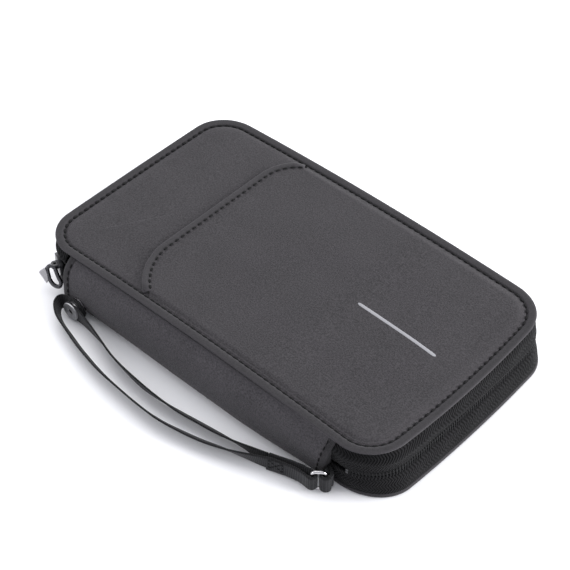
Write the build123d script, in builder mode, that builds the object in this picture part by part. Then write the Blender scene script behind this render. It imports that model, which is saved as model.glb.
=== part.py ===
"""Zip-round travel wallet with a wrist strap, one STEP file per solid piece.

Millimetres, +Z up. The wallet lies on its back cover: spine on -Y, zip round the
-X, +Y and +X sides, origin in the middle of the underside.
"""
from build123d import *
from math import atan2, cos, degrees, hypot, radians, sin
import os

os.makedirs("parts", exist_ok=True)

# ---------------------------------------------------------------- dimensions
# cover outline
half_width = 58.3            # spine edge and far edge, from the middle
corner_r = 18.7              # corner radius of both covers
end_mid_x = 98.85            # furthest point of the bowed short ends
corner_cx = 79.04            # centre of the corner rounding
corner_cy = half_width - corner_r

# stack, back cover (the front cover is the same stack turned over)
height = 25.4                # outside to outside of the two edge bindings
mid_z = height / 2
bind_h = 2.0                 # edge binding height
bind_w = 4.5                 # edge binding width on the face
bind_wall = 0.5              # fabric round the edge
bind_lip = 0.4               # fabric over and under the edge
bind_round = 0.3             # rounding of the outer edges
panel_z0, panel_z1 = 0.45, 1.10
foam_z0, foam_z1 = 1.15, 2.30
board_z0, board_z1 = 2.35, 3.50
lining_z0, lining_z1 = 3.70, 4.20
panel_inset, foam_inset, board_inset, lining_inset = 0.6, 5.0, 5.3, 1.6
lining_y_min = -56.0         # linings stop short of the spine
field_gap = 0.1              # between the back panel's padded field and the binding

# front slip pocket
pocket_x = -49.8             # straight part of the mouth
pocket_hem = 3.5             # width of the binding along the mouth
pocket_inset = bind_w + 0.2
pocket_seam = 1.5            # width of the sewn-down strip
pocket_foot_z = 25.0         # underside of the sewn-down strip
pocket_z0, pocket_z1 = 26.0, 26.8
pocket_bind_gap, pocket_bind_t = 0.05, 0.45

# zip
zip_z = 11.5                 # middle of the zip
coil_h = 1.2                 # one coil half
coil_gap = 0.1               # half the gap between the coil halves
coil_play = 0.02             # taken off the height of each coil half
tape_out, tape_in = 0.6, 1.4 # zip tape faces, inwards from the outline
coil_out, coil_in = 0.1, 1.9
stop_out, stop_in = 0.0, 2.0
flange_in = 5.0              # inner edge of the sewing flange
flange_z0, flange_z1 = 2.10, 2.70
# ends along the zip, degrees round the spine corners
tape_end = 259.0             # tapes, -X corner
tape_end_right = 540 - tape_end
coil_end = 228.0             # where the coils enter the parked slider
coil_end_right = 285.0       # where the coils end at the +X corner
stop_overlap = 0.4           # stops reach back from the coil ends
notch_deg = 213.0, tape_end + 4   # upper tape cut back here
notch_z = 16.0               # top of that cut

# spine
hinge_y = -57.6
hinge_low, hinge_top = 2.6, height - 2.6
bead_r = 0.5                 # sewn bead on each fold line
strip_z = 20.7               # lower end of the upper fold strip
spine_t = 1.0                # spine panel wall
belly_y = -58.1              # chord that the bulge is measured from
belly_half = 8.7             # half length of that chord
spine_belly = 6.1            # how far the spine bulges past its chord
spine_belly_right = 3.7      # flatter at the ring end
spine_half = 77.0            # half length of the spine
hem_w = 3.8                  # spine end bindings
hem_t = 1.4                  # wall of the curved part of the hem
spine_panel_x = spine_half - hem_w - 0.1
spine_fill_x = spine_panel_x - 0.4   # half length of the foam and stiffener
trim_size = 60.0             # square that trims the spine circles

# inside
seat_gap = 0.05              # between pieces that lie on each other
sleeve_x, sleeve_y, sleeve_top = 68.0, 48.0, 10.6   # half length, half width, top
sleeve_t, sleeve_seam = 0.8, 1.2
card_w = 85.6
card_hx, card_hy = card_w / 2 + 3.2, 45.0
base_z0, base_z1 = 20.3, 21.1
card_plate, card_room = 0.6, 1.05    # pocket plate and the space behind it
card_seam = 1.2
card_tops = (20.0, 6.0, -8.0)        # y of the three pocket mouths

# slider and pull
slider_deg = 243.0
slider_l = 9.0
slider_path_r = corner_r - 1.0
channel_w, channel_h = 2.5, 3.2
slot_w = 1.7
channel_shift = -0.28        # the tape curves inside a straight slider
plate_t = 1.1
wedge_y, wedge_l = 2.7, 2.6  # middle and length of the wedge
lug_r, lug_h = 1.7, 2.2
link_hole_x = 3.45           # link pin, outwards from the zip
link_reach, link_h = 4.0, 5.3
link_wire_r = 0.6
link_corner = 1.0
fit = 0.08                   # radial running clearance
pull_l, pull_h, pull_t = 4.9, 5.8, 1.3
barrel_r, barrel_half = 1.35, 1.5    # round end of the pull, on the link
relief_w, relief_l, relief_h = 4.2, 4.0, 3.0
tab_x = link_hole_x + link_reach     # pull tab pivot

# strap ring
ring_wire_r = 0.75
ring_w, ring_h, ring_corner = 5.6, 10.0, 1.8
ring_mid = (75.14, -65.36, 5.9)
ring_dir = (0.76, 0.65)
ring_tab_r, ring_tab_z, ring_tab_h = 1.9, 3.5, 4.8

# wrist strap
web_t = 1.2
web_z0, web_z1 = 1.4, 9.0
loop_z0, loop_z1 = 2.8, 9.0
loop_r = 2.0                 # folded end round the ring
strap_pivot = (52.0, -67.2)
pivot_r, pivot_hole_r = 0.9, 0.98

# snap fastener, distances from the XZ plane towards -Y
snap_x, snap_z = -67.2, 4.9
snap_r = 4.4
snap_flange_r = 3.6          # socket and stud base
stud_r = 1.7
washer_hole_r = 1.3
cap_y, cap_t, cap_round = 63.8, 1.15, 0.7
socket_y, socket_t = 66.25, 0.9
stud_y, stud_l = 66.3, 1.1
stud_base_y, stud_base_t = 67.25, 0.3
washer_y, washer_t, washer_round = 68.85, 0.6, 0.25

# ------------------------------------------------------------ measured points
# x, y: mouth of the slip pocket, an arc at each end of the straight part
mouth_low_arc = [(-32.2, -55.3), (-45.4, -42.3), (pocket_x, -29.0)]
mouth_high_arc = [(pocket_x, 35.0), (-45.1, 48.6), (-30.4, 56.9)]
# x, y: the rest of that face, well outside the cover
mouth_surround = [(-20.0, 62.0), (120.0, 62.0), (120.0, -62.0), (-22.0, -62.0)]

# along the zip, up: shouldered slider body
slider_profile = [
    (-slider_l / 2, -3.0), (-slider_l / 2, 3.0), (-1.6, 4.2), (1.8, 4.2),
    (slider_l / 2, 3.1), (slider_l / 2, -3.1), (1.8, -4.2), (-1.6, -4.2),
]

# x, y: foot of the ring tab, at the spine
ring_tab_foot = [
    (77.05, -63.6), (77.75, -63.6), (78.4, -62.9), (78.6, -60.4), (77.75, -58.6), (77.05, -58.6),
]

# x, y: middle line of each strap strand, from the snap to the pivot
outer_points = [
    (-61.8, -65.6), (-67.0, -65.6), (-73.6, -65.6), (-76.2, -65.7), (-78.4, -66.9),
    (-77.4, -68.8), (-75.0, -70.8), (-71.0, -74.2), (-64.0, -78.0), (-50.4, -81.5),
    (-31.0, -84.8), (-17.0, -86.6), (0.3, -85.8), (19.3, -81.4), (29.4, -77.2),
    (45.8, -71.9), (53.0, -69.2),
]
inner_points = [
    (-72.2, -68.2), (-68.0, -68.2), (-63.0, -68.2), (-45.9, -71.5), (-35.7, -73.9),
    (-30.5, -75.4), (-19.7, -78.3), (-6.3, -79.8), (7.2, -78.6), (19.3, -76.0),
    (32.8, -72.3), (44.0, -69.0), (51.4, -67.3),
]
# x, y: bar tack where both strands and the loop meet, and the tail to the ring
bar_tack = [(51.9, -66.2), (61.0, -65.3), (61.0, -68.1), (53.4, -69.9), (51.9, -69.9)]
loop_tail = [(60.0, -65.4), (72.8, -65.75), (72.8, -68.65), (60.0, -68.0)]

# ------------------------------------------------------------------- helpers
# the bowed end is an arc about (end_cx, 0) that meets the corner arc at end_deg
end_reach = end_mid_x - corner_r
end_cx = (end_reach**2 - corner_cx**2 - corner_cy**2) / (2 * (end_reach - corner_cx))
end_deg = degrees(atan2(corner_cy, corner_cx - end_cx))


def save(name, part):
    """Label a piece and write its STEP file."""
    part.label = name
    export_step(part, f"parts/{name}.step")


def slab(face, z0, z1):
    """A flat piece between two heights."""
    with BuildPart() as piece:
        with BuildSketch(Plane.XY.offset(z0)):
            add(face)
        extrude(amount=z1 - z0)
    return piece.part


def cover_face(grow=0.0, y_min=None):
    """Rounded outline of a cover, grown by an offset, optionally trimmed along the spine."""
    r = corner_r + grow

    def on_corner(angle, side_x, side_y):
        return (
            side_x * (corner_cx + r * cos(radians(angle))),
            side_y * (corner_cy + r * sin(radians(angle))),
        )

    mid_deg = (90 + end_deg) / 2
    with BuildSketch() as outline:
        with BuildLine():
            for side in (1, -1):
                high, low = on_corner(end_deg, side, 1), on_corner(end_deg, side, -1)
                ThreePointArc(on_corner(90, side, 1), on_corner(mid_deg, side, 1), high)
                ThreePointArc(high, (side * (end_mid_x + grow), 0), low)
                ThreePointArc(low, on_corner(mid_deg, side, -1), on_corner(90, side, -1))
            for y in (corner_cy + r, -corner_cy - r):
                Line((-corner_cx, y), (corner_cx, y))
        make_face()
        if y_min is not None:
            with Locations((0, y_min - 50)):
                Rectangle(300, 100, mode=Mode.SUBTRACT)
    return outline.sketch


def from_spine_corner(side, angle, reach):
    """A point at a reach and angle from the centre of a spine corner, side -1 or 1 in X."""
    return (
        side * corner_cx + reach * cos(radians(angle)),
        -corner_cy + reach * sin(radians(angle)),
    )


def spine_gap(left_deg, right_deg, reach=70.0):
    """The spine side of the outline, where no zip runs."""
    with BuildSketch() as gap:
        with BuildLine():
            Polyline(
                (-corner_cx, -corner_cy),
                from_spine_corner(-1, left_deg, reach),
                from_spine_corner(1, right_deg, reach),
                (corner_cx, -corner_cy),
                close=True,
            )
        make_face()
    return gap.sketch


def corner_wedge(side, deg0, deg1, reach=60.0):
    """A wedge of a spine corner, side -1 or 1 in X."""
    with BuildSketch() as wedge:
        with BuildLine():
            Polyline(
                (side * corner_cx, -corner_cy),
                from_spine_corner(side, deg0, reach),
                from_spine_corner(side, deg1, reach),
                close=True,
            )
        make_face()
    return wedge.sketch


def zip_wall(outer, inner, left_deg=tape_end, right_deg=tape_end_right):
    """A wall round the three zip sides, between two insets of the outline."""
    with BuildSketch() as wall:
        add(cover_face(-outer))
        add(cover_face(-inner), mode=Mode.SUBTRACT)
        add(spine_gap(left_deg, right_deg), mode=Mode.SUBTRACT)
    return wall.sketch


def wire_loop(loop_plane, wire_plane, near, far, half_h, corner, wire_r):
    """A closed rectangular wire with round corners, swept from the middle of its near side."""
    with BuildPart() as piece:
        with BuildLine(loop_plane) as loop:
            FilletPolyline(
                (near, 0), (near, half_h), (far, half_h), (far, -half_h), (near, -half_h),
                (near, -0.001),
                radius=corner,
            )
            Line((near, -0.001), (near, 0))
        with BuildSketch(wire_plane):
            Circle(wire_r)
        sweep(path=loop.wires()[0])
    return piece.part


# -------------------------------------------------------------------- covers
def stack_span(side, z0, z1):
    """Heights of a layer given on the back cover, mirrored for the front cover."""
    return (z0, z1) if side == "back" else (height - z1, height - z0)


def back_cover_panel():
    """Panel with a padded field, flush with the binding, that the wallet rests on."""
    with BuildPart() as piece:
        with BuildSketch(Plane.XY.offset(panel_z0)):
            add(cover_face(-panel_inset))
        extrude(amount=panel_z1 - panel_z0)
        with BuildSketch():
            add(cover_face(-bind_w - field_gap))
        extrude(amount=panel_z0)
    return piece.part


def edge_binding(side):
    """Hollow fabric channel round the edge of a cover."""
    bottom, _ = stack_span(side, 0, bind_h)
    outer_group = 0 if side == "back" else -1
    with BuildPart() as piece:
        with BuildSketch(Plane.XY.offset(bottom)):
            add(cover_face())
            add(cover_face(-bind_w), mode=Mode.SUBTRACT)
        extrude(amount=bind_h)
        fillet(piece.edges().group_by(Axis.Z)[outer_group], radius=bind_round)
        with BuildSketch(Plane.XY.offset(bottom + bind_lip)):
            add(cover_face(-bind_wall))
        extrude(amount=bind_h - 2 * bind_lip, mode=Mode.SUBTRACT)
    return piece.part


save("back_cover_panel", back_cover_panel())
save(
    "front_cover_panel",
    slab(cover_face(-panel_inset), *stack_span("front", panel_z0, panel_z1)),
)
for side in ("back", "front"):
    save(f"{side}_edge_binding", edge_binding(side))
    for layer, face, z0, z1 in (
        ("foam_pad", cover_face(-foam_inset), foam_z0, foam_z1),
        ("stiffener_board", cover_face(-board_inset), board_z0, board_z1),
        ("lining", cover_face(-lining_inset, y_min=lining_y_min), lining_z0, lining_z1),
    ):
        save(f"{side}_{layer}", slab(face, *stack_span(side, z0, z1)))


# --------------------------------------------------------------- slip pocket
def mouth_face(inset=0.0):
    """Everything on the closed side of the slip pocket's mouth."""
    with BuildSketch() as closed_side:
        with BuildLine():
            ThreePointArc(*mouth_low_arc)
            Line(mouth_low_arc[-1], mouth_high_arc[0])
            ThreePointArc(*mouth_high_arc)
            Polyline(mouth_high_arc[-1], *mouth_surround, mouth_low_arc[0])
        make_face()
        if inset:
            offset(amount=-inset)
    return closed_side.sketch


def slip_pocket_panel():
    """A plate over the front panel, sewn down on three sides, open on -X."""
    with BuildPart() as piece:
        with BuildSketch(Plane.XY.offset(pocket_z0)):
            add(cover_face(-pocket_inset))
            add(mouth_face(), mode=Mode.INTERSECT)
        extrude(amount=pocket_z1 - pocket_z0)
        with BuildSketch(Plane.XY.offset(pocket_foot_z)):
            add(cover_face(-pocket_inset))
            add(cover_face(-pocket_inset - pocket_seam), mode=Mode.SUBTRACT)
            add(mouth_face(), mode=Mode.INTERSECT)
        extrude(amount=pocket_z0 - pocket_foot_z)
    return piece.part


def slip_pocket_binding():
    """Band on top of the plate, along the mouth."""
    with BuildPart() as piece:
        with BuildSketch(Plane.XY.offset(pocket_z1 + pocket_bind_gap)):
            add(cover_face(-pocket_inset))
            add(mouth_face(), mode=Mode.INTERSECT)
            add(mouth_face(pocket_hem), mode=Mode.SUBTRACT)
        extrude(amount=pocket_bind_t)
    return piece.part


save("slip_pocket_panel", slip_pocket_panel())
save("slip_pocket_binding", slip_pocket_binding())


# ----------------------------------------------------------------------- zip
def zip_tape(z0, z1, flange_bottom, notched=False):
    """Standing tape with a sewing flange, optionally cut back round the parked slider."""
    with BuildPart() as piece:
        with BuildSketch(Plane.XY.offset(z0)):
            add(zip_wall(tape_out, tape_in))
        extrude(amount=z1 - z0)
        with BuildSketch(Plane.XY.offset(flange_bottom)):
            add(zip_wall(tape_out, flange_in))
        extrude(amount=flange_z1 - flange_z0)
        if notched:
            with BuildSketch(Plane.XY.offset(zip_z)):
                add(corner_wedge(-1, *notch_deg))
            extrude(amount=notch_z - zip_z, mode=Mode.SUBTRACT)
    return piece.part


def stop_face():
    """Short clip round the end of one coil half, at the +X spine corner."""
    with BuildSketch() as clip:
        add(zip_wall(stop_out, stop_in))
        add(
            corner_wedge(1, coil_end_right - stop_overlap, tape_end_right),
            mode=Mode.INTERSECT,
        )
    return clip.sketch


coil_reach = coil_gap + coil_h
save("lower_zip_tape", zip_tape(flange_z0, zip_z - coil_reach, flange_z0))
save(
    "upper_zip_tape",
    zip_tape(zip_z + coil_reach, height - flange_z0, height - flange_z1, notched=True),
)
for half, z in (("lower", zip_z - coil_reach + coil_play), ("upper", zip_z + coil_gap)):
    coil_face = zip_wall(coil_out, coil_in, coil_end, coil_end_right)
    save(f"{half}_zip_coil", slab(coil_face, z, z + coil_h - coil_play))
    save(f"{half}_zip_stop", slab(stop_face(), z, z + coil_h - coil_play))


# --------------------------------------------------------------------- spine
def belly_circle(bulge):
    """Circle centre y and radius of a spine section that bulges past its chord."""
    r = (belly_half**2 + bulge**2) / (2 * bulge)
    return belly_y - bulge + r, r


def spine_panel():
    """Curved wall with a strip and a bead at each fold line."""
    centre_y, r = belly_circle(spine_belly)
    with BuildPart() as piece:
        with BuildSketch(Plane.YZ.offset(-spine_panel_x)):
            with Locations((centre_y, mid_z)):
                Circle(r)
                Circle(r - spine_t, mode=Mode.SUBTRACT)
            with Locations((hinge_y + bead_r + trim_size / 2, mid_z)):
                Rectangle(trim_size, trim_size, mode=Mode.SUBTRACT)
            with Locations(
                (hinge_y, (hinge_top + strip_z) / 2),
                (hinge_y, (hinge_low + height - strip_z) / 2),
            ):
                Rectangle(2 * bead_r, hinge_top - strip_z)
            with Locations((hinge_y, hinge_top), (hinge_y, hinge_low)):
                Circle(bead_r)
        extrude(amount=2 * spine_panel_x)
    return piece.part


def spine_foam_pad():
    """Padding that fills the hollow of the spine panel."""
    flat_y = -58.5
    centre_y, r = belly_circle(spine_belly)
    with BuildPart() as piece:
        with BuildSketch(Plane.YZ.offset(-spine_fill_x)):
            with Locations((centre_y, mid_z)):
                Circle(r - spine_t - 0.1)
            with Locations((flat_y + trim_size / 2, mid_z)):
                Rectangle(trim_size, trim_size, mode=Mode.SUBTRACT)
        extrude(amount=2 * spine_fill_x)
    return piece.part


def spine_strip(half_length, y, thickness, width):
    """A flat upright strip along the spine."""
    with BuildPart() as piece:
        with BuildSketch(Plane.YZ.offset(-half_length)):
            with Locations((y, mid_z)):
                Rectangle(thickness, width)
        extrude(amount=2 * half_length)
    return piece.part


def hem_face(bulge):
    """Closed hem round the end of the spine."""
    curve_end_y = -57.9
    centre_y, r = belly_circle(bulge)
    with BuildSketch() as hem:
        with Locations((centre_y, mid_z)):
            Circle(r)
            Circle(r - hem_t, mode=Mode.SUBTRACT)
        with Locations((curve_end_y + trim_size / 2, mid_z)):
            Rectangle(trim_size, trim_size, mode=Mode.SUBTRACT)
        with Locations((-57.3, mid_z)):
            Rectangle(1.6, 17.3)
    return hem.sketch


def spine_end_binding(x, bulge):
    """Hem from x towards +X."""
    with BuildPart() as piece:
        with BuildSketch(Plane.YZ.offset(x)):
            add(hem_face(bulge))
        extrude(amount=hem_w)
    return piece.part


save("spine_panel", spine_panel())
save("spine_foam_pad", spine_foam_pad())
save("spine_stiffener", spine_strip(spine_fill_x, y=-57.85, thickness=1.0, width=14.4))
save("spine_lining", spine_strip(spine_panel_x, y=-56.75, thickness=0.5, width=18.6))
save("spine_end_binding_left", spine_end_binding(-spine_half, spine_belly))
save("spine_end_binding_right", spine_end_binding(spine_half - hem_w, spine_belly_right))


# -------------------------------------------------------------------- inside
def passport_sleeve():
    """A plate with a rim on three sides, open towards +X and underneath."""
    bottom = lining_z1 + seat_gap
    with BuildPart() as piece:
        with BuildSketch(Plane.XY.offset(bottom)):
            Rectangle(2 * sleeve_x, 2 * sleeve_y)
        extrude(amount=sleeve_top - bottom)
        with BuildSketch(Plane.XY.offset(bottom)):
            with Locations((sleeve_seam / 2, 0)):
                Rectangle(2 * sleeve_x - sleeve_seam, 2 * sleeve_y - 2 * sleeve_seam)
        extrude(amount=sleeve_top - sleeve_t - bottom, mode=Mode.SUBTRACT)
    return piece.part


def passport_sleeve_binding():
    """Rounded strip along the sleeve's mouth."""
    with BuildPart() as piece:
        with BuildSketch(Plane.XY.offset(sleeve_top - 1.0)):
            with Locations((sleeve_x + 1.1, 0)):
                RectangleRounded(2.0, 2 * sleeve_y - 4.0, 0.9)
        extrude(amount=1.2)
    return piece.part


def card_base_panel():
    """Panel that carries the card pockets."""
    with BuildPart() as piece:
        with BuildSketch(Plane.XY.offset(base_z0)):
            RectangleRounded(2 * card_hx, 2 * card_hy, 3.0)
        extrude(amount=base_z1 - base_z0)
    return piece.part


def card_pocket(z_top, y_top):
    """One card slot: a plate with a sewn rim on three sides, open towards +Y."""
    width, length, mid_y = 2 * card_hx - 0.4, y_top + card_hy, (y_top - card_hy) / 2
    with BuildPart() as piece:
        with BuildSketch(Plane.XY.offset(z_top - card_plate - card_room)):
            with Locations((0, mid_y)):
                Rectangle(width, length)
        extrude(amount=card_plate + card_room)
        with BuildSketch(Plane.XY.offset(z_top - card_room)):
            with Locations((0, mid_y + card_seam)):
                Rectangle(width - 2 * card_seam, length)
        extrude(amount=card_room, mode=Mode.SUBTRACT)
    return piece.part


save("passport_sleeve", passport_sleeve())
save("passport_sleeve_binding", passport_sleeve_binding())
save("card_base_panel", card_base_panel())
card_pitch = card_plate + card_room + seat_gap
for i, y_top in enumerate(card_tops):
    pocket = card_pocket(base_z0 - seat_gap - i * card_pitch, y_top)
    save(f"card_slot_panel_{i + 1}", pocket)

# ----------------------------------------------------------- slider and pull
out_x, out_y = cos(radians(slider_deg)), sin(radians(slider_deg))   # outwards from the zip
slider_at = (*from_spine_corner(-1, slider_deg, slider_path_r), zip_z)
# plan plane: x outwards, y along the zip towards the spine
plan = Plane(origin=slider_at, x_dir=(out_x, out_y, 0), z_dir=(0, 0, 1))
# face plane: x along the zip, y up, looking from outside
face_plane = Plane(origin=slider_at, x_dir=(-out_y, out_x, 0), z_dir=(out_x, out_y, 0))
# section plane: x outwards, y up
section = Plane(origin=slider_at, x_dir=(out_x, out_y, 0), z_dir=(out_y, -out_x, 0))


def zip_slider():
    """Slider parked at the -X spine corner."""
    channel_out = channel_shift + channel_w / 2
    channel_in = channel_shift - channel_w / 2
    lug_root = channel_out + plate_t - 0.2
    with BuildPart() as piece:
        # shouldered body
        with BuildSketch(face_plane.offset(channel_in - plate_t)):
            with BuildLine():
                Polyline(*slider_profile, close=True)
            make_face()
        extrude(amount=channel_w + 2 * plate_t)
        # tape slots above and below, coil channel in the middle
        for width, cut_h in ((slot_w, 12.0), (channel_w, channel_h)):
            with BuildSketch(plan.offset(-cut_h / 2)):
                with Locations((channel_shift, 0)):
                    Rectangle(width, slider_l + 2)
            extrude(amount=cut_h, mode=Mode.SUBTRACT)
        # wedge that parts the coils, at the end that leads when the zip closes
        with BuildSketch(plan.offset(-lug_h / 2)):
            with Locations((channel_shift, wedge_y)):
                Rectangle(channel_w + 0.4, wedge_l)
        extrude(amount=lug_h)
        # lug for the pull link
        with BuildSketch(plan.offset(-lug_h / 2)):
            with Locations(((lug_root + link_hole_x) / 2, 0)):
                Rectangle(link_hole_x - lug_root, 2 * lug_r)
            with Locations((link_hole_x, 0)):
                Circle(lug_r)
                Circle(link_wire_r + fit, mode=Mode.SUBTRACT)
        extrude(amount=lug_h)
    return piece.part


def zip_pull_link():
    """Wire link between the slider's lug and the pull tab."""
    pin = Plane(
        origin=plan.origin + plan.x_dir * link_hole_x, x_dir=plan.x_dir, z_dir=(0, 0, 1)
    )
    return wire_loop(
        section, pin, link_hole_x, tab_x, link_h / 2, corner=link_corner, wire_r=link_wire_r
    )


def zip_pull_tab():
    """Flat pull with a barrel round the far side of the link."""
    end_x, half_h = tab_x + pull_l, pull_h / 2
    with BuildPart() as piece:
        with BuildSketch(section.offset(-pull_t / 2)):
            with BuildLine():
                FilletPolyline(
                    (tab_x, -1.5), (tab_x + 1.5, -half_h), (end_x, -half_h),
                    (end_x, half_h), (tab_x + 1.5, half_h), (tab_x, 1.5),
                    radius=0.6, close=True,
                )
            make_face()
        extrude(amount=pull_t)
        with BuildSketch(plan.offset(-barrel_half)):
            with Locations((tab_x, 0)):
                Circle(barrel_r)
        extrude(amount=2 * barrel_half)
        with BuildSketch(plan.offset(-4.0)):
            with Locations((tab_x, 0)):
                Circle(link_wire_r + fit)
        extrude(amount=8.0, mode=Mode.SUBTRACT)
        # clear of the link's corners, above and below the barrel
        for z in (barrel_half, -barrel_half - relief_h):
            with BuildSketch(plan.offset(z)):
                with Locations((tab_x - 1.0, 0)):
                    Rectangle(relief_w, relief_l)
            extrude(amount=relief_h, mode=Mode.SUBTRACT)
    return piece.part


save("zip_slider", zip_slider())
save("zip_pull_link", zip_pull_link())
save("zip_pull_tab", zip_pull_tab())

# --------------------------------------------------------- ring and ring tab
ring_norm = hypot(*ring_dir)
ring_dx = ring_dir[0] / ring_norm * ring_w / 2
ring_dy = ring_dir[1] / ring_norm * ring_w / 2
wire_tab = (ring_mid[0] + ring_dx, ring_mid[1] + ring_dy)       # upright held by the tab
wire_strap = (ring_mid[0] - ring_dx, ring_mid[1] - ring_dy)     # upright held by the strap


def strap_ring():
    """Rectangular wire ring, standing upright."""
    ring_plane = Plane(
        origin=ring_mid, x_dir=(*ring_dir, 0), z_dir=(ring_dir[1], -ring_dir[0], 0)
    )
    upright = Plane(origin=(*wire_tab, ring_mid[2]), x_dir=(1, 0, 0), z_dir=(0, 0, 1))
    return wire_loop(
        ring_plane, upright, ring_w / 2, -ring_w / 2, ring_h / 2,
        corner=ring_corner, wire_r=ring_wire_r,
    )


def strap_ring_tab():
    """Tab round the ring, with its foot at the spine."""
    with BuildPart() as piece:
        with BuildSketch(Plane.XY.offset(ring_tab_z)):
            with Locations(wire_tab):
                Circle(ring_tab_r)
            with BuildLine():
                Polyline(*ring_tab_foot, close=True)
            make_face()
            with Locations(wire_tab):
                Circle(ring_wire_r + fit, mode=Mode.SUBTRACT)
        extrude(amount=ring_tab_h)
    return piece.part


save("strap_ring", strap_ring())
save("strap_ring_tab", strap_ring_tab())


# --------------------------------------------------------------- wrist strap
def web_face(path, steps):
    """Plan of a webbing strip of constant thickness along a line."""
    left, right = [], []
    for i in range(steps + 1):
        point, along = path @ (i / steps), path % (i / steps)
        shift_x, shift_y = along.Y * web_t / 2, along.X * web_t / 2
        left.append((point.X - shift_x, point.Y + shift_y))
        right.append((point.X + shift_x, point.Y - shift_y))
    with BuildSketch() as strip:
        with BuildLine():
            Spline(*left)
            Line(left[-1], right[-1])
            Spline(*right)
            Line(right[0], left[0])
        make_face()
    return strip.sketch


def strap_outer_strand():
    """Strand from the snap cap round to the pivot, with the loop that holds the ring."""
    with BuildLine() as line:
        Spline(*outer_points, tangents=[(-1, 0), (1, 0.33)])
    with BuildPart() as piece:
        with BuildSketch(Plane.XY.offset(web_z0)):
            add(web_face(line.edges()[0], 90))
            with BuildLine():
                Polyline(*bar_tack, close=True)
            make_face()
            with Locations(strap_pivot):
                Circle(pivot_hole_r, mode=Mode.SUBTRACT)
        extrude(amount=web_z1 - web_z0)
        # folded end round the ring
        with BuildSketch(Plane.XY.offset(loop_z0)):
            with BuildLine():
                Polyline(*loop_tail, close=True)
            make_face()
            with Locations(wire_strap):
                Circle(loop_r)
        extrude(amount=loop_z1 - loop_z0)
        with BuildSketch(Plane.XY):
            with Locations(wire_strap):
                Circle(ring_wire_r + fit)
        extrude(amount=12.0, mode=Mode.SUBTRACT)
    return piece.part


def strap_inner_strand():
    """Strand nearer the spine, with a round end in the pivot hole."""
    with BuildLine() as line:
        Spline(*inner_points, tangents=[(1, 0), (1, 0.2)])
    with BuildPart() as piece:
        with BuildSketch(Plane.XY.offset(web_z0)):
            add(web_face(line.edges()[0], 70))
            with Locations(strap_pivot):
                Circle(pivot_r)
        extrude(amount=web_z1 - web_z0)
    return piece.part


save("strap_outer_strand", strap_outer_strand())
save("strap_inner_strand", strap_inner_strand())

# ------------------------------------------------------------- snap fastener
# an offset n of this plane lies at y = -n
snap_plane = Plane(origin=(snap_x, 0, snap_z), x_dir=(1, 0, 0), z_dir=(0, -1, 0))


def snap_cap():
    """Disc rounded on its +Y face."""
    with BuildPart() as piece:
        with BuildSketch(snap_plane.offset(cap_y)):
            Circle(snap_r)
        extrude(amount=cap_t)
        rim = piece.edges().filter_by(GeomType.CIRCLE).sort_by(Axis.Y)[-1]
        fillet(rim, radius=cap_round)
    return piece.part


def snap_socket():
    """Flat ring that takes the stud."""
    with BuildPart() as piece:
        with BuildSketch(snap_plane.offset(socket_y)):
            Circle(snap_flange_r)
            Circle(stud_r + fit, mode=Mode.SUBTRACT)
        extrude(amount=socket_t)
    return piece.part


def snap_stud():
    """Stud on a thin base."""
    with BuildPart() as piece:
        with BuildSketch(snap_plane.offset(stud_y)):
            Circle(stud_r)
        extrude(amount=stud_l)
        with BuildSketch(snap_plane.offset(stud_base_y)):
            Circle(snap_flange_r)
        extrude(amount=stud_base_t)
    return piece.part


def snap_washer():
    """Ring with both edges of its -Y face rounded."""
    with BuildPart() as piece:
        with BuildSketch(snap_plane.offset(washer_y)):
            Circle(snap_r)
            Circle(washer_hole_r, mode=Mode.SUBTRACT)
        extrude(amount=washer_t)
        rims = piece.edges().filter_by(GeomType.CIRCLE).group_by(Axis.Y)[0]
        fillet(rims, radius=washer_round)
    return piece.part


save("snap_cap", snap_cap())
save("snap_socket", snap_socket())
save("snap_stud", snap_stud())
save("snap_washer", snap_washer())
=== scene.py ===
"""Zipped passport wallet with a wrist strap, lying closed on its back cover.

X runs along its length, Y across it and Z up. The spine is the -Y long side, the zip runs
round the other three sides, and the strap lies outside the spine. Sizes are millimetres
(make() turns them into metres) except in modifiers, materials, lights and the camera.
"""
import math

import bmesh
import bpy
import numpy as np
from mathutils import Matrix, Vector


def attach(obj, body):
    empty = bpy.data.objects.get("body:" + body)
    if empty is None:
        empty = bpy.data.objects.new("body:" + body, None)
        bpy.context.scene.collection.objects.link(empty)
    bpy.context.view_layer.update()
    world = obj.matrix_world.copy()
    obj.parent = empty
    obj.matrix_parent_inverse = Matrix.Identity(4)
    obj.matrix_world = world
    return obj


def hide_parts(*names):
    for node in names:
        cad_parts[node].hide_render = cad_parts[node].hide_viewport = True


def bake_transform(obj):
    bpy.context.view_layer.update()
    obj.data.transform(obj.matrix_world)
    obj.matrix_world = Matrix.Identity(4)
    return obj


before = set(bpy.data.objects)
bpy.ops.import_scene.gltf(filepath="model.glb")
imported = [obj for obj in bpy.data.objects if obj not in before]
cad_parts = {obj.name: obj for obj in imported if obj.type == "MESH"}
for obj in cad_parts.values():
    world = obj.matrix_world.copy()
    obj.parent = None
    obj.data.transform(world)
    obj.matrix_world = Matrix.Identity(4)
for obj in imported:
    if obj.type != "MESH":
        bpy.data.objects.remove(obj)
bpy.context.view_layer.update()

# ------------------------------------------------------------------ outline
# In plan: straight long sides, round corners and slightly bowed ends.
CORNER_X, CORNER_Y, CORNER_R = 79.04, 39.6, 18.7
TIP_X = 98.85
HALF_WIDTH = CORNER_Y + CORNER_R
_INNER = TIP_X - CORNER_R
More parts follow.
